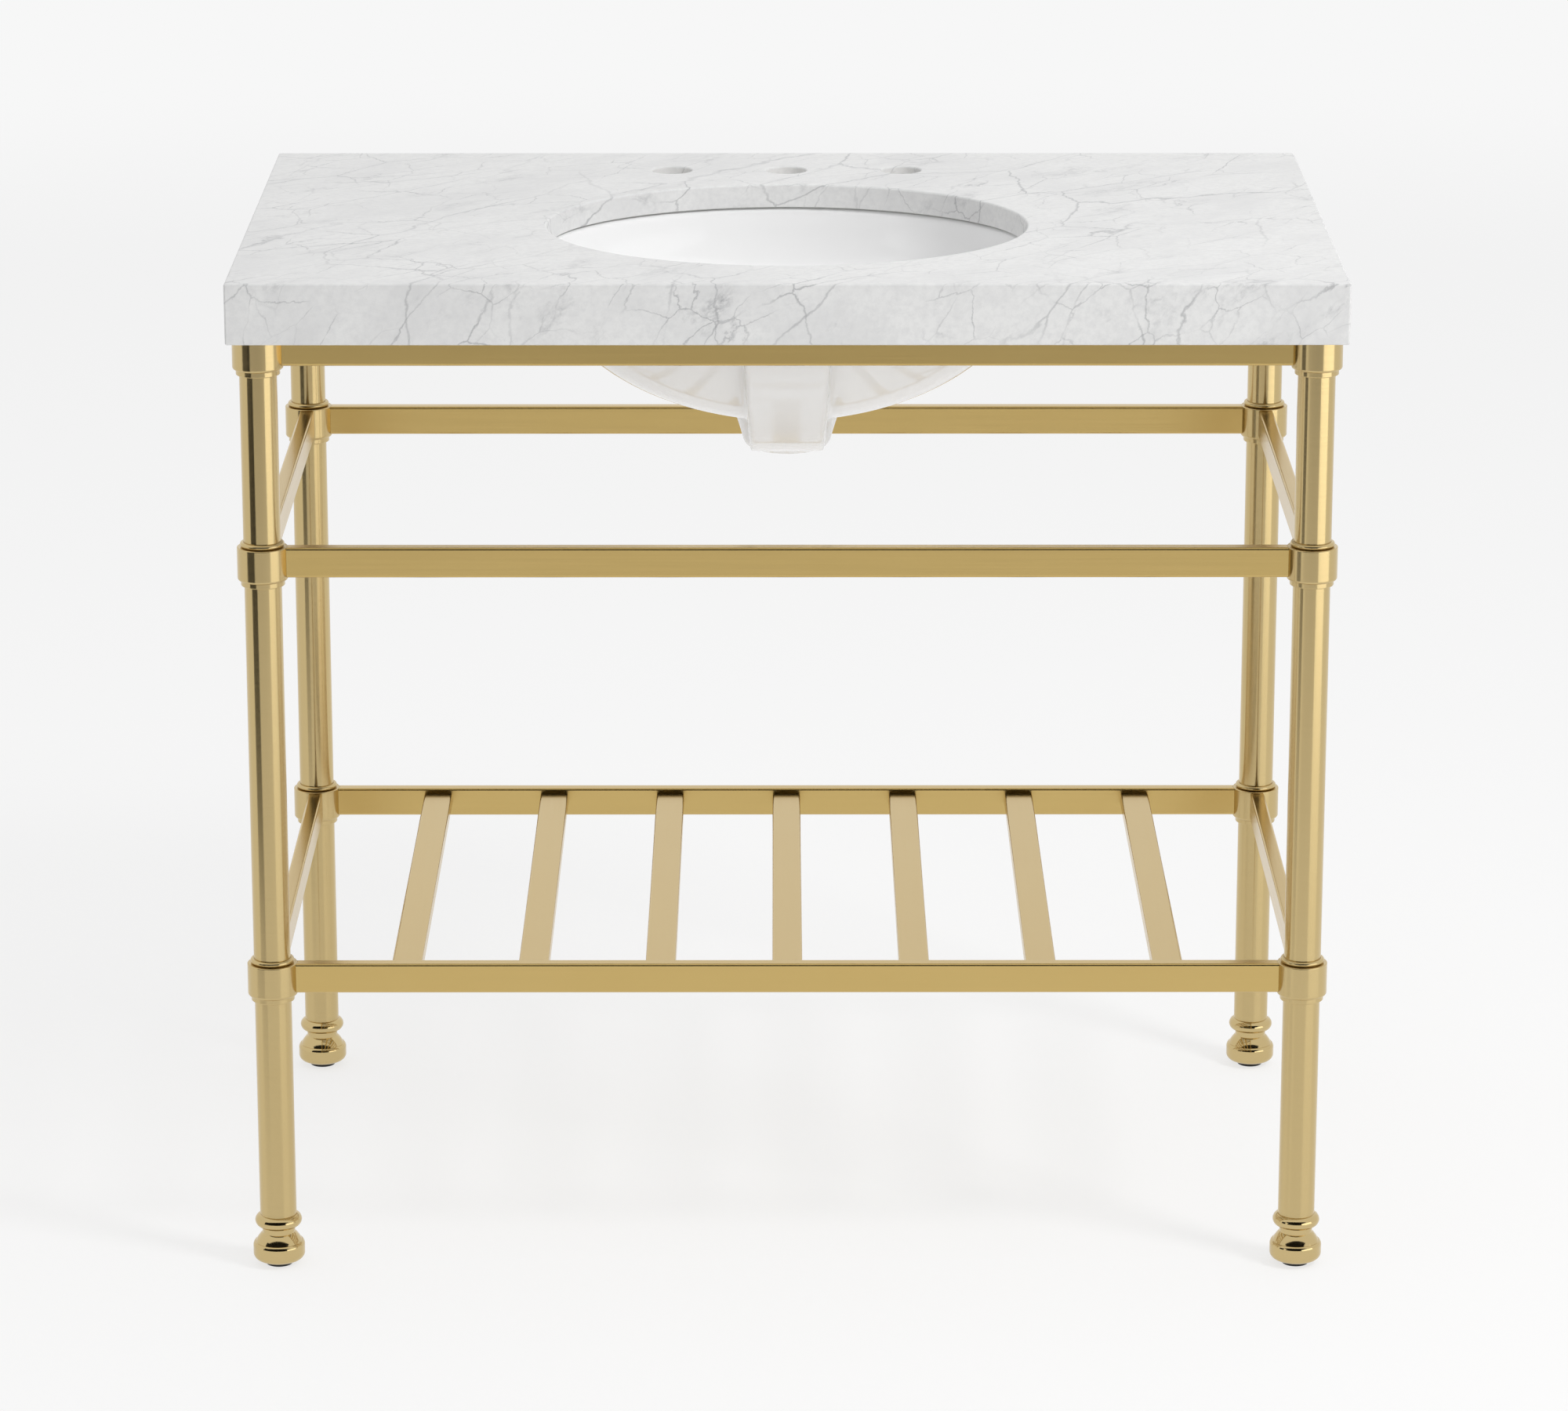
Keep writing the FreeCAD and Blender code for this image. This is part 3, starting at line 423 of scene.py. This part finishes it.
def brass(name, looks, colour, roughness, stroke, turned=False):
    """Lacquered brass; stroke is the size of a brush line along X, Y and Z.

    Brushing leaves fine parallel lines that draw reflections out into soft bands, the alloy has slightly
    deeper patches, and the lacquer lays a thin sharp reflection over it all. Real brush lines are about
    0.1 mm wide, too fine to show, so they are drawn wider.
    """
    material, tree, shader, place = start_material(name)
    grain = add_node(tree, "ShaderNodeMapping", {"Vector": place, "Scale": [1 / size for size in stroke]})
    lines = add_node(
        tree, "ShaderNodeTexNoise",
        {"Vector": grain.outputs["Vector"], "Scale": 1.0, "Detail": 3.0, "Roughness": 0.6}).outputs["Fac"]
    rough = add_node(tree, "ShaderNodeMapRange", {
        "Value": lines, "From Min": 0.3, "From Max": 0.7,
        "To Min": roughness - looks.roughness_spread, "To Max": roughness + looks.roughness_spread})
    patches = add_node(
        tree, "ShaderNodeTexNoise", {"Vector": place, "Scale": 1 / looks.patch_size, "Detail": 4.0})
    deeper = [channel ** DEEPEST_PATCH_POWER for channel in colour]
    amount = add_node(
        tree, "ShaderNodeMath", {0: patches.outputs["Fac"], 1: looks.patch_share}, operation="MULTIPLY")
    tone = add_node(
        tree, "ShaderNodeMix",
        {MIX_SHARE: amount.outputs["Value"], MIX_LOWER: opaque(colour), MIX_UPPER: opaque(deeper)},
        data_type="RGBA")
    bump = add_node(
        tree, "ShaderNodeBump", {"Strength": 0.5, "Distance": looks.brush_depth, "Height": lines})
    tree.links.new(tone.outputs[MIX_RESULT], shader.inputs["Base Color"])
    tree.links.new(rough.outputs["Result"], shader.inputs["Roughness"])
    tree.links.new(bump.outputs["Normal"], shader.inputs["Normal"])
    shader.inputs["Metallic"].default_value = 1.0
    shader.inputs["Coat Weight"].default_value = looks.lacquer
    shader.inputs["Coat Roughness"].default_value = looks.lacquer_roughness
    if turned:
        # Polishing round and round draws reflections out along the axis, into long upright bands.
        around = add_node(tree, "ShaderNodeTangent", direction_type="RADIAL", axis="Z")
        tree.links.new(around.outputs["Tangent"], shader.inputs["Tangent"])
        shader.inputs["Anisotropic"].default_value = looks.turning
        shader.inputs["Anisotropic Rotation"].default_value = QUARTER_TURN
    return material


def soft_patches(tree, place, size, detail, roughness, start, full, most=1.0):
    """How strongly patches of a size show: not at all where their noise is below start, most above full."""
    noise = add_node(tree, "ShaderNodeTexNoise", {
        "Vector": place, "Scale": 1 / size, "Detail": detail, "Roughness": roughness})
    shown = add_node(tree, "ShaderNodeMapRange", {
        "Value": noise.outputs["Fac"], "From Min": start, "From Max": full, "To Max": most})
    return shown.outputs["Result"]


def carrara_marble(looks):
    """Honed Carrara marble.

    A fine-grained crystalline limestone, sawn, ground and sealed: a cool white ground with soft grey
    clouds, a web of thin grey veins that fade in and out, a few grey flecks and a low sheen. Its
    crystals are well under 1 mm wide, too fine to show, so they are drawn wider.
    """
    material, tree, shader, place = start_material("honed_carrara_marble")
    # Veins lie in steep slanted sheets, so they run along the top and slant across its edges
    slanted = add_node(
        tree, "ShaderNodeMapping",
        {"Vector": place, "Rotation": looks.sheet_turn, "Scale": looks.sheet_stretch},
        vector_type="TEXTURE").outputs["Vector"]
    # Noise about its middle value moves places to all sides, so that veins wander
    drift = add_node(tree, "ShaderNodeTexNoise", {
        "Vector": slanted, "Scale": 1 / looks.vein_spacing, "Detail": 8.0, "Roughness": 0.62})
    centred = add_node(
        tree, "ShaderNodeVectorMath", {0: drift.outputs["Color"], 1: (0.5, 0.5, 0.5)}, operation="SUBTRACT")
    stray = add_node(
        tree, "ShaderNodeVectorMath", {0: centred.outputs["Vector"], "Scale": looks.wander},
        operation="SCALE")
    wavy = add_node(
        tree, "ShaderNodeVectorMath", {0: slanted, 1: stray.outputs["Vector"]},
        operation="ADD").outputs["Vector"]

    # Soft grey clouds, with a fine mottle over all of the stone
    clouds = soft_patches(tree, wavy, looks.cloud_size, detail=6.0, roughness=0.62, start=0.45, full=0.75)
    mottle = soft_patches(
        tree, place, looks.fleck_size, detail=4.0, roughness=0.6, start=0.4, full=0.7, most=0.6)
    layers = [(clouds, looks.cloud_colour), (mottle, looks.cloud_colour)]

    # Three webs of veins, each finer than the last, which fade out in patches
    for number, (spacing_share, width_share, strength) in enumerate(VEIN_WEB_SHARES):
        spacing = looks.vein_spacing * spacing_share
        web = add_node(
            tree, "ShaderNodeTexVoronoi", {"Vector": wavy, "Scale": 1 / spacing}, feature="DISTANCE_TO_EDGE")
        line = add_node(tree, "ShaderNodeMapRange", {
            "Value": web.outputs["Distance"], "From Max": looks.vein_width * width_share / spacing,
            "To Min": strength, "To Max": 0.0}, interpolation_type="SMOOTHSTEP")
        fading = add_node(tree, "ShaderNodeTexNoise", {
            "Vector": place, "W": float(number), "Scale": 1 / (spacing * VEIN_PATCH_SHARE), "Detail": 3.0},
            noise_dimensions="4D")
        shown = add_node(tree, "ShaderNodeMapRange", {
            "Value": fading.outputs["Fac"], "From Min": 0.45, "From Max": 0.62})
        amount = add_node(
            tree, "ShaderNodeMath", {0: line.outputs["Result"], 1: shown.outputs["Result"]},
            operation="MULTIPLY")
        layers.append((amount.outputs["Value"], looks.vein_colour))

    # Grey smudges, made of flecks that gather in a few places
    flecks = soft_patches(
        tree, wavy, looks.fleck_size, detail=5.0, roughness=0.65, start=0.4, full=0.66, most=0.8)
    smudges = soft_patches(tree, wavy, looks.smudge_size, detail=5.0, roughness=0.6, start=0.58, full=0.74)
    gathered = add_node(tree, "ShaderNodeMath", {0: flecks, 1: smudges}, operation="MULTIPLY")
    layers.append((gathered.outputs["Value"], looks.vein_colour))

    colour = opaque(looks.colour)
    for amount, layer_colour in layers:
        colour = add_node(
            tree, "ShaderNodeMix",
            {MIX_SHARE: amount, MIX_LOWER: colour, MIX_UPPER: opaque(layer_colour)},
            data_type="RGBA").outputs[MIX_RESULT]

    crystals = add_node(
        tree, "ShaderNodeTexNoise", {"Vector": place, "Scale": 1 / looks.grain, "Detail": 2.0}).outputs["Fac"]
    rough = add_node(tree, "ShaderNodeMapRange", {
        "Value": crystals, "To Min": looks.roughness - looks.roughness_spread,
        "To Max": looks.roughness + looks.roughness_spread})
    bump = add_node(
        tree, "ShaderNodeBump", {"Strength": 0.4, "Distance": looks.grain_depth, "Height": crystals})
    tree.links.new(colour, shader.inputs["Base Color"])
    tree.links.new(rough.outputs["Result"], shader.inputs["Roughness"])
    tree.links.new(bump.outputs["Normal"], shader.inputs["Normal"])
    shader.inputs["IOR"].default_value = MARBLE_IOR
    return material


def plain_surface(name, colour, roughness, texture, depth, metallic=0.0, ior=1.5):
    """A one-coloured material whose surface has a texture of that size and depth."""
    material, tree, shader, place = start_material(name)
    texture_noise = add_node(
        tree, "ShaderNodeTexNoise", {"Vector": place, "Scale": 1 / texture, "Detail": 3.0}).outputs["Fac"]
    rough = add_node(tree, "ShaderNodeMapRange", {
        "Value": texture_noise, "To Min": roughness * (1 - TEXTURE_ROUGHNESS_SHARE),
        "To Max": roughness * (1 + TEXTURE_ROUGHNESS_SHARE)})
    bump = add_node(tree, "ShaderNodeBump", {"Strength": 0.6, "Distance": depth, "Height": texture_noise})
    tree.links.new(rough.outputs["Result"], shader.inputs["Roughness"])
    tree.links.new(bump.outputs["Normal"], shader.inputs["Normal"])
    shader.inputs["Base Color"].default_value = opaque(colour)
    shader.inputs["Metallic"].default_value = metallic
    if not metallic:
        shader.inputs["IOR"].default_value = ior
    return material


def vitreous_china(looks):
    """Vitreous china under a clear glaze: white, with sharp reflections that a slow ripple bends."""
    return plain_surface(
        "glazed_vitreous_china", looks.colour, looks.roughness, looks.ripple, looks.ripple_depth)


def moulded_rubber(looks):
    """Moulded rubber: nearly black and dull, with a fine sparked texture, drawn coarser so that it shows."""
    return plain_surface(
        "moulded_rubber", looks.rubber_colour, looks.rubber_roughness, looks.rubber_texture,
        looks.rubber_depth)


def moulded_nylon(looks):
    """Moulded nylon: black with a soft shine; the mould's fine texture is drawn coarser, so that it shows."""
    return plain_surface(
        "moulded_nylon", looks.nylon_colour, looks.nylon_roughness, looks.nylon_texture, looks.nylon_depth)


def zinc_steel(looks):
    """Zinc-plated steel: a pale cold grey metal with a slightly cloudy, tumbled shine.

    The plating's fine grain is drawn coarser, so that it shows. The glides and the fasteners share it.
    """
    name = "zinc_plated_steel"
    return bpy.data.materials.get(name) or plain_surface(
        name, looks.zinc_colour, looks.zinc_roughness, looks.zinc_texture, looks.zinc_depth, metallic=1.0)


def milky_silicone(looks):
    """Silicone: milky and smooth with a dull shine, in a bead that isn't quite even."""
    return plain_surface(
        "milky_silicone", looks.silicone_colour, looks.silicone_roughness, looks.silicone_texture,
        looks.silicone_depth, ior=SILICONE_IOR)


# Pieces

class VANITY_OT_marble_top(bpy.types.Operator):
    """Give the slab and its edge strips their marble"""

    bl_idname = "vanity.marble_top"
    bl_label = "Marble top"

    def execute(self, context):
        dress(named("marble_"), carrara_marble(context.scene.vanity_marble))
        return {"FINISHED"}


class VANITY_OT_basin(bpy.types.Operator):
    """Make the glazed basin, whose clay edges are soft"""

    bl_idname = "vanity.basin"
    bl_label = "Basin"

    def execute(self, context):
        looks = context.scene.vanity_china
        china = vitreous_china(looks)
        piece = finish_piece(welded("basin"), "glazed_basin", china, "stand", ["basin"])
        remesh = piece.modifiers.new("even_faces", "REMESH")
        remesh.mode = "VOXEL"
        remesh.voxel_size = looks.voxel
        soften = piece.modifiers.new("soft_edges", "SMOOTH")
        soften.factor = looks.soften_share
        soften.iterations = looks.soften_steps
        evaluated = piece.evaluated_get(context.evaluated_depsgraph_get())
        mesh = bpy.data.meshes.new_from_object(evaluated)
        piece.modifiers.clear()
        piece.data = mesh
        mesh.shade_smooth()
        return {"FINISHED"}


class VANITY_OT_stand(bpy.types.Operator):
    """Give the tubes and collars turned brass, and the rails and slats brushed brass"""

    bl_idname = "vanity.stand"
    bl_label = "Brass stand"

    def execute(self, context):
        looks = context.scene.vanity_brass
        wide, long = looks.brush_width, looks.brush_length
        satin = looks.satin_colour, looks.satin_roughness
        bright = looks.turned_colour, looks.turned_roughness
        across = brass("satin_brass_brushed_across", looks, *satin, (long, wide, wide))
        deep = brass("satin_brass_brushed_deep", looks, *satin, (wide, long, wide))
        turned = brass("satin_brass_turned", looks, *bright, (long, long, wide), turned=True)
        dress(named("leg_tube_", "collar_"), turned)
        for name in named("top_rail_", "towel_rail_", "shelf_rail_", "shelf_slat_"):
            dress([name], across if name.endswith(("front", "back")) else deep)
        return {"FINISHED"}


class VANITY_OT_feet(bpy.types.Operator):
    """Polish the feet, dress the glides' rubber pads and make their threaded stems"""

    bl_idname = "vanity.feet"
    bl_label = "Feet and glides"

    def execute(self, context):
        looks = context.scene.vanity_brass
        hardware = context.scene.vanity_hardware
        polished = brass(
            "polished_brass_turned", looks, looks.turned_colour, looks.polished_roughness,
            (looks.brush_length, looks.brush_length, looks.brush_width))
        dress(named("foot_"), polished)
        dress(named("leveller_pad_"), moulded_rubber(hardware))
        zinc = zinc_steel(hardware)
        for corner in CORNERS:
            node = f"leveller_stem_{corner}"
            shape = bmesh.new()
            add_rings(shape, thread_rings(*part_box(node), hardware))
            finish_piece(shape, f"threaded_stem_{corner}", zinc, f"leveller_{corner}", [node])
        return {"FINISHED"}


class VANITY_OT_fasteners(bpy.types.Operator):
    """Make the socket screws and dress the clips, plugs, bumpers and seal"""

    bl_idname = "vanity.fasteners"
    bl_label = "Fasteners and seals"

    def execute(self, context):
        hardware = context.scene.vanity_hardware
        zinc = zinc_steel(hardware)
        dress(["basin_clips"], zinc)
        dress(["slat_plugs"], moulded_nylon(hardware))
        dress(["basin_seal", "slab_bumpers"], milky_silicone(hardware))
        kinds = (
            ("rail_screws", "socket_grub_screws", hardware.socket, hardware.chamfer, None),
            ("clip_screws", "socket_clip_screws", hardware.head_socket, hardware.head_chamfer,
             screw_head("clip_screws")),
        )
        for node, name, socket, chamfer, head in kinds:
            screws = bmesh.new()
            for low, high in solid_boxes(node):
                add_rings(screws, screw_rings(low, high, socket, hardware.socket_depth, chamfer, head))
            finish_piece(screws, name, zinc, "stand", [node])
        return {"FINISHED"}


# Studio

def upright(left, right, low, high):
    """Corners of an upright panel between two points of the floor plan."""
    return [(*left, low), (*right, low), (*right, high), (*left, high)]


def lying(left, right, front, back):
    """Corners of a panel that lies or slopes; front and back give the Y and Z of its edges."""
    return [(left, *front), (right, *front), (right, *back), (left, *back)]


# Panels that only reflections see: flags of dark cloth and a bright strip, painted reflections that band the
# brass.
# The eye and matte surfaces don't see them, and they cast no shadow. The left flag lays dark bands and the
# right strip a painted highlight band down the tubes. The front, ceiling and far floor flags are behind,
# above and below the camera; the far floor flag darkens the front of the top rail, partly as the reflection
# of a dark floor and partly as painted shade under the slab's overhang. The left flag and the right strip end
# below the counter, so that the marble on top never mirrors them.
FLAG_WALL = -6.6
FLAG_WALL_TOP = 3.2
FLAG_RIGHT = 4.6
FLOOR_GAP = 0.004
SIDE_PANEL_TOP = 0.8
REFLECTED_PANELS = {
    "front_flag": upright(
        left=(-6.0, FLAG_WALL), right=(FLAG_RIGHT, FLAG_WALL), low=-0.1, high=FLAG_WALL_TOP),
    "far_floor_shade_flag": lying(left=-5.0, right=5.0, front=(-5.5, FLOOR_GAP), back=(-4.3, FLOOR_GAP)),
    "left_flag": upright(left=(-1.55, -0.72), right=(-1.02, -1.22), low=0.0, high=SIDE_PANEL_TOP),
    "ceiling_flag": lying(
        left=-5.0, right=FLAG_RIGHT, front=(FLAG_WALL, FLAG_WALL_TOP), back=(-3.2, 3.6)),
    "right_strip": upright(left=(1.35, -2.35), right=(2.5, -0.75), low=0.0, high=SIDE_PANEL_TOP),
}


def add_panel(name, corners, material):
    """A flat panel of the studio."""
    mesh = bpy.data.meshes.new(name)
    mesh.from_pydata(corners, [], [tuple(range(len(corners)))])
    mesh.materials.append(material)
    panel = bpy.data.objects.new(name, mesh)
    bpy.context.scene.collection.objects.link(panel)
    return panel


def seen_ray(tree):
    """1 for a ray from the eye, a reflection or a clear surface, and 0 for one that lights a matte one."""
    ray = add_node(tree, "ShaderNodeLightPath")
    seen = ray.outputs["Is Camera Ray"]
    for kind in ("Is Glossy Ray", "Is Transmission Ray"):
        seen = add_node(
            tree, "ShaderNodeMath", {0: seen, 1: ray.outputs[kind]}, operation="MAXIMUM").outputs["Value"]
    return seen


def add_softbox(name, place, target, width, height, power):
    """A rectangular soft light that faces a point; its own glare doesn't show in glossy things."""
    light = bpy.data.lights.new(name, "AREA")
    light.shape = "RECTANGLE"
    light.size, light.size_y = width, height
    light.energy = power
    lamp = bpy.data.objects.new(name, light)
    lamp.location = place
    lamp.rotation_euler = (Vector(target) - Vector(place)).to_track_quat("-Z", "Y").to_euler()
    lamp.visible_glossy = False
    lamp.visible_camera = False
    bpy.context.scene.collection.objects.link(lamp)


class VANITY_OT_stage(bpy.types.Operator):
    """Set up the floor, the lights, the panels that the brass reflects and the camera"""

    bl_idname = "vanity.stage"
    bl_label = "Studio"

    def execute(self, context):
        looks = context.scene.vanity_stage
        context.scene.view_settings.view_transform = "Standard"
        self.make_world(looks)
        self.make_floor(looks)
        self.make_reflections(looks)
        self.make_lamps(looks)
        self.make_camera(looks)
        return {"FINISHED"}

    def make_world(self, looks):
        """A pale room: the eye and every reflection see the backdrop, and matte things its dimmer light."""
        world = bpy.data.worlds.new("pale_studio")
        world.use_nodes = True
        bpy.context.scene.world = world
        tree = world.node_tree
        dim = add_node(tree, "ShaderNodeBackground", {"Color": (1, 1, 1, 1), "Strength": looks.ambient})
        pale = add_node(tree, "ShaderNodeBackground", {"Color": opaque(looks.background)})
        mixed = add_node(
            tree, "ShaderNodeMixShader",
            {0: seen_ray(tree), 1: dim.outputs["Background"], 2: pale.outputs["Background"]})
        tree.links.new(mixed.outputs["Shader"], tree.nodes["World Output"].inputs["Surface"])

    def make_floor(self, looks):
        """A matte white paper sweep that the eye sees at the backdrop's level, with shadows.

        Its rim fades out, and its back is clear, so that views from below show the object.
        """
        material, tree, shader, place = start_material("matte_paper_sweep")
        shader.inputs["Base Color"].default_value = opaque(looks.shadow_colour)
        shader.inputs["Roughness"].default_value = 1.0
        shader.inputs["Specular IOR Level"].default_value = 0.0
        shader.inputs["Emission Color"].default_value = opaque(looks.background)
        shader.inputs["Emission Strength"].default_value = looks.floor_glow
        paper = add_node(tree, "ShaderNodeBsdfDiffuse", {"Color": opaque(looks.floor_colour)})
        lit = add_node(tree, "ShaderNodeMixShader", {
            0: seen_ray(tree), 1: paper.outputs["BSDF"], 2: shader.outputs["BSDF"]})
        away = add_node(tree, "ShaderNodeVectorMath", {0: place}, operation="LENGTH")
        faded = add_node(tree, "ShaderNodeMapRange", {
            "Value": away.outputs["Value"], "From Min": looks.floor_fade, "From Max": looks.floor_radius},
            interpolation_type="SMOOTHSTEP")
        below = add_node(tree, "ShaderNodeNewGeometry").outputs["Backfacing"]
        gone = add_node(tree, "ShaderNodeMath", {0: faded.outputs["Result"], 1: below}, operation="MAXIMUM")
        clear = add_node(tree, "ShaderNodeBsdfTransparent")
        mixed = add_node(tree, "ShaderNodeMixShader", {
            0: gone.outputs["Value"], 1: lit.outputs["Shader"], 2: clear.outputs["BSDF"]})
        tree.links.new(mixed.outputs["Shader"], tree.nodes["Material Output"].inputs["Surface"])
        reach = looks.floor_radius
        add_panel("floor", lying(left=-reach, right=reach, front=(-reach, 0), back=(reach, 0)), material)

    def make_reflections(self, looks):
        """Hang the panels that only reflections see."""
        # Painted dark reflection: black cloth seen only in reflections, dull, and nearly no light comes back
        # from it.
        dark, _, shader, _ = start_material("reflection_only_dark_flag")
        shader.inputs["Base Color"].default_value = opaque(looks.flag_colour)
        shader.inputs["Roughness"].default_value = 1.0
        # Painted highlight: a white strip seen only in reflections, with an even glow; it is no lamp.
        bright, _, shader, _ = start_material("reflection_only_bright_strip")
        shader.inputs["Emission Color"].default_value = (1.0, 1.0, 1.0, 1.0)
        shader.inputs["Emission Strength"].default_value = looks.strip_glow
        for name, corners in REFLECTED_PANELS.items():
            panel = add_panel(name, corners, dark if name.endswith("flag") else bright)
            panel.visible_camera = False
            panel.visible_diffuse = False
            panel.visible_shadow = False

    def make_lamps(self, looks):
        """A wide softbox above, a smaller one high at the right and a low reflector in front."""
        add_softbox(
            "overhead_softbox", looks.overhead_place, (0, 0, 0), looks.overhead_width,
            looks.overhead_width, looks.overhead_power)
        add_softbox(
            "key_softbox", looks.key_place, looks.key_target, looks.key_width, looks.key_width,
            looks.key_power)
        straight_up = Vector(looks.fill_place) + Vector((0, 0, 1))
        add_softbox(
            "floor_reflector", looks.fill_place, straight_up, looks.fill_width, looks.fill_depth,
            looks.fill_power)

    def make_camera(self, looks):
        """A long lens that looks slightly down, without shift."""
        data = bpy.data.cameras.new("camera")
        data.sensor_width = looks.sensor
        data.lens = looks.lens
        camera = bpy.data.objects.new("camera", data)
        camera.location = looks.camera_place
        camera.rotation_euler = (math.pi / 2 - looks.camera_tilt, 0, -looks.camera_pan)
        bpy.context.scene.collection.objects.link(camera)
        bpy.context.scene.camera = camera


class VANITY_PT_looks(bpy.types.Panel):
    """Lists the pieces and their looks"""

    bl_idname = "VANITY_PT_looks"
    bl_label = "Single sink vanity"
    bl_space_type = "VIEW_3D"
    bl_region_type = "UI"
    bl_category = "Vanity"

    def draw(self, context):
        for operator in OPERATORS:
            self.layout.operator(operator.bl_idname)
        for name in LOOKS:
            looks = getattr(context.scene, name)
            column = self.layout.column(align=True)
            for prop in looks.__annotations__:
                column.prop(looks, prop)


LOOKS = {
    "vanity_marble": MarbleLooks,
    "vanity_china": ChinaLooks,
    "vanity_brass": BrassLooks,
    "vanity_hardware": HardwareLooks,
    "vanity_stage": StageLooks,
}
OPERATORS = (
    VANITY_OT_marble_top, VANITY_OT_basin, VANITY_OT_stand, VANITY_OT_feet, VANITY_OT_fasteners,
    VANITY_OT_stage,
)


def register():
    for kind in (*LOOKS.values(), *OPERATORS, VANITY_PT_looks):
        bpy.utils.register_class(kind)
    for name, kind in LOOKS.items():
        setattr(bpy.types.Scene, name, PointerProperty(type=kind))


def unregister():
    for name in LOOKS:
        delattr(bpy.types.Scene, name)
    for kind in reversed((*LOOKS.values(), *OPERATORS, VANITY_PT_looks)):
        bpy.utils.unregister_class(kind)


def main():
    register()
    bpy.ops.vanity.marble_top()
    bpy.ops.vanity.basin()
    bpy.ops.vanity.stand()
    bpy.ops.vanity.feet()
    bpy.ops.vanity.fasteners()
    bpy.ops.vanity.stage()


if __name__ == "__main__":
    main()
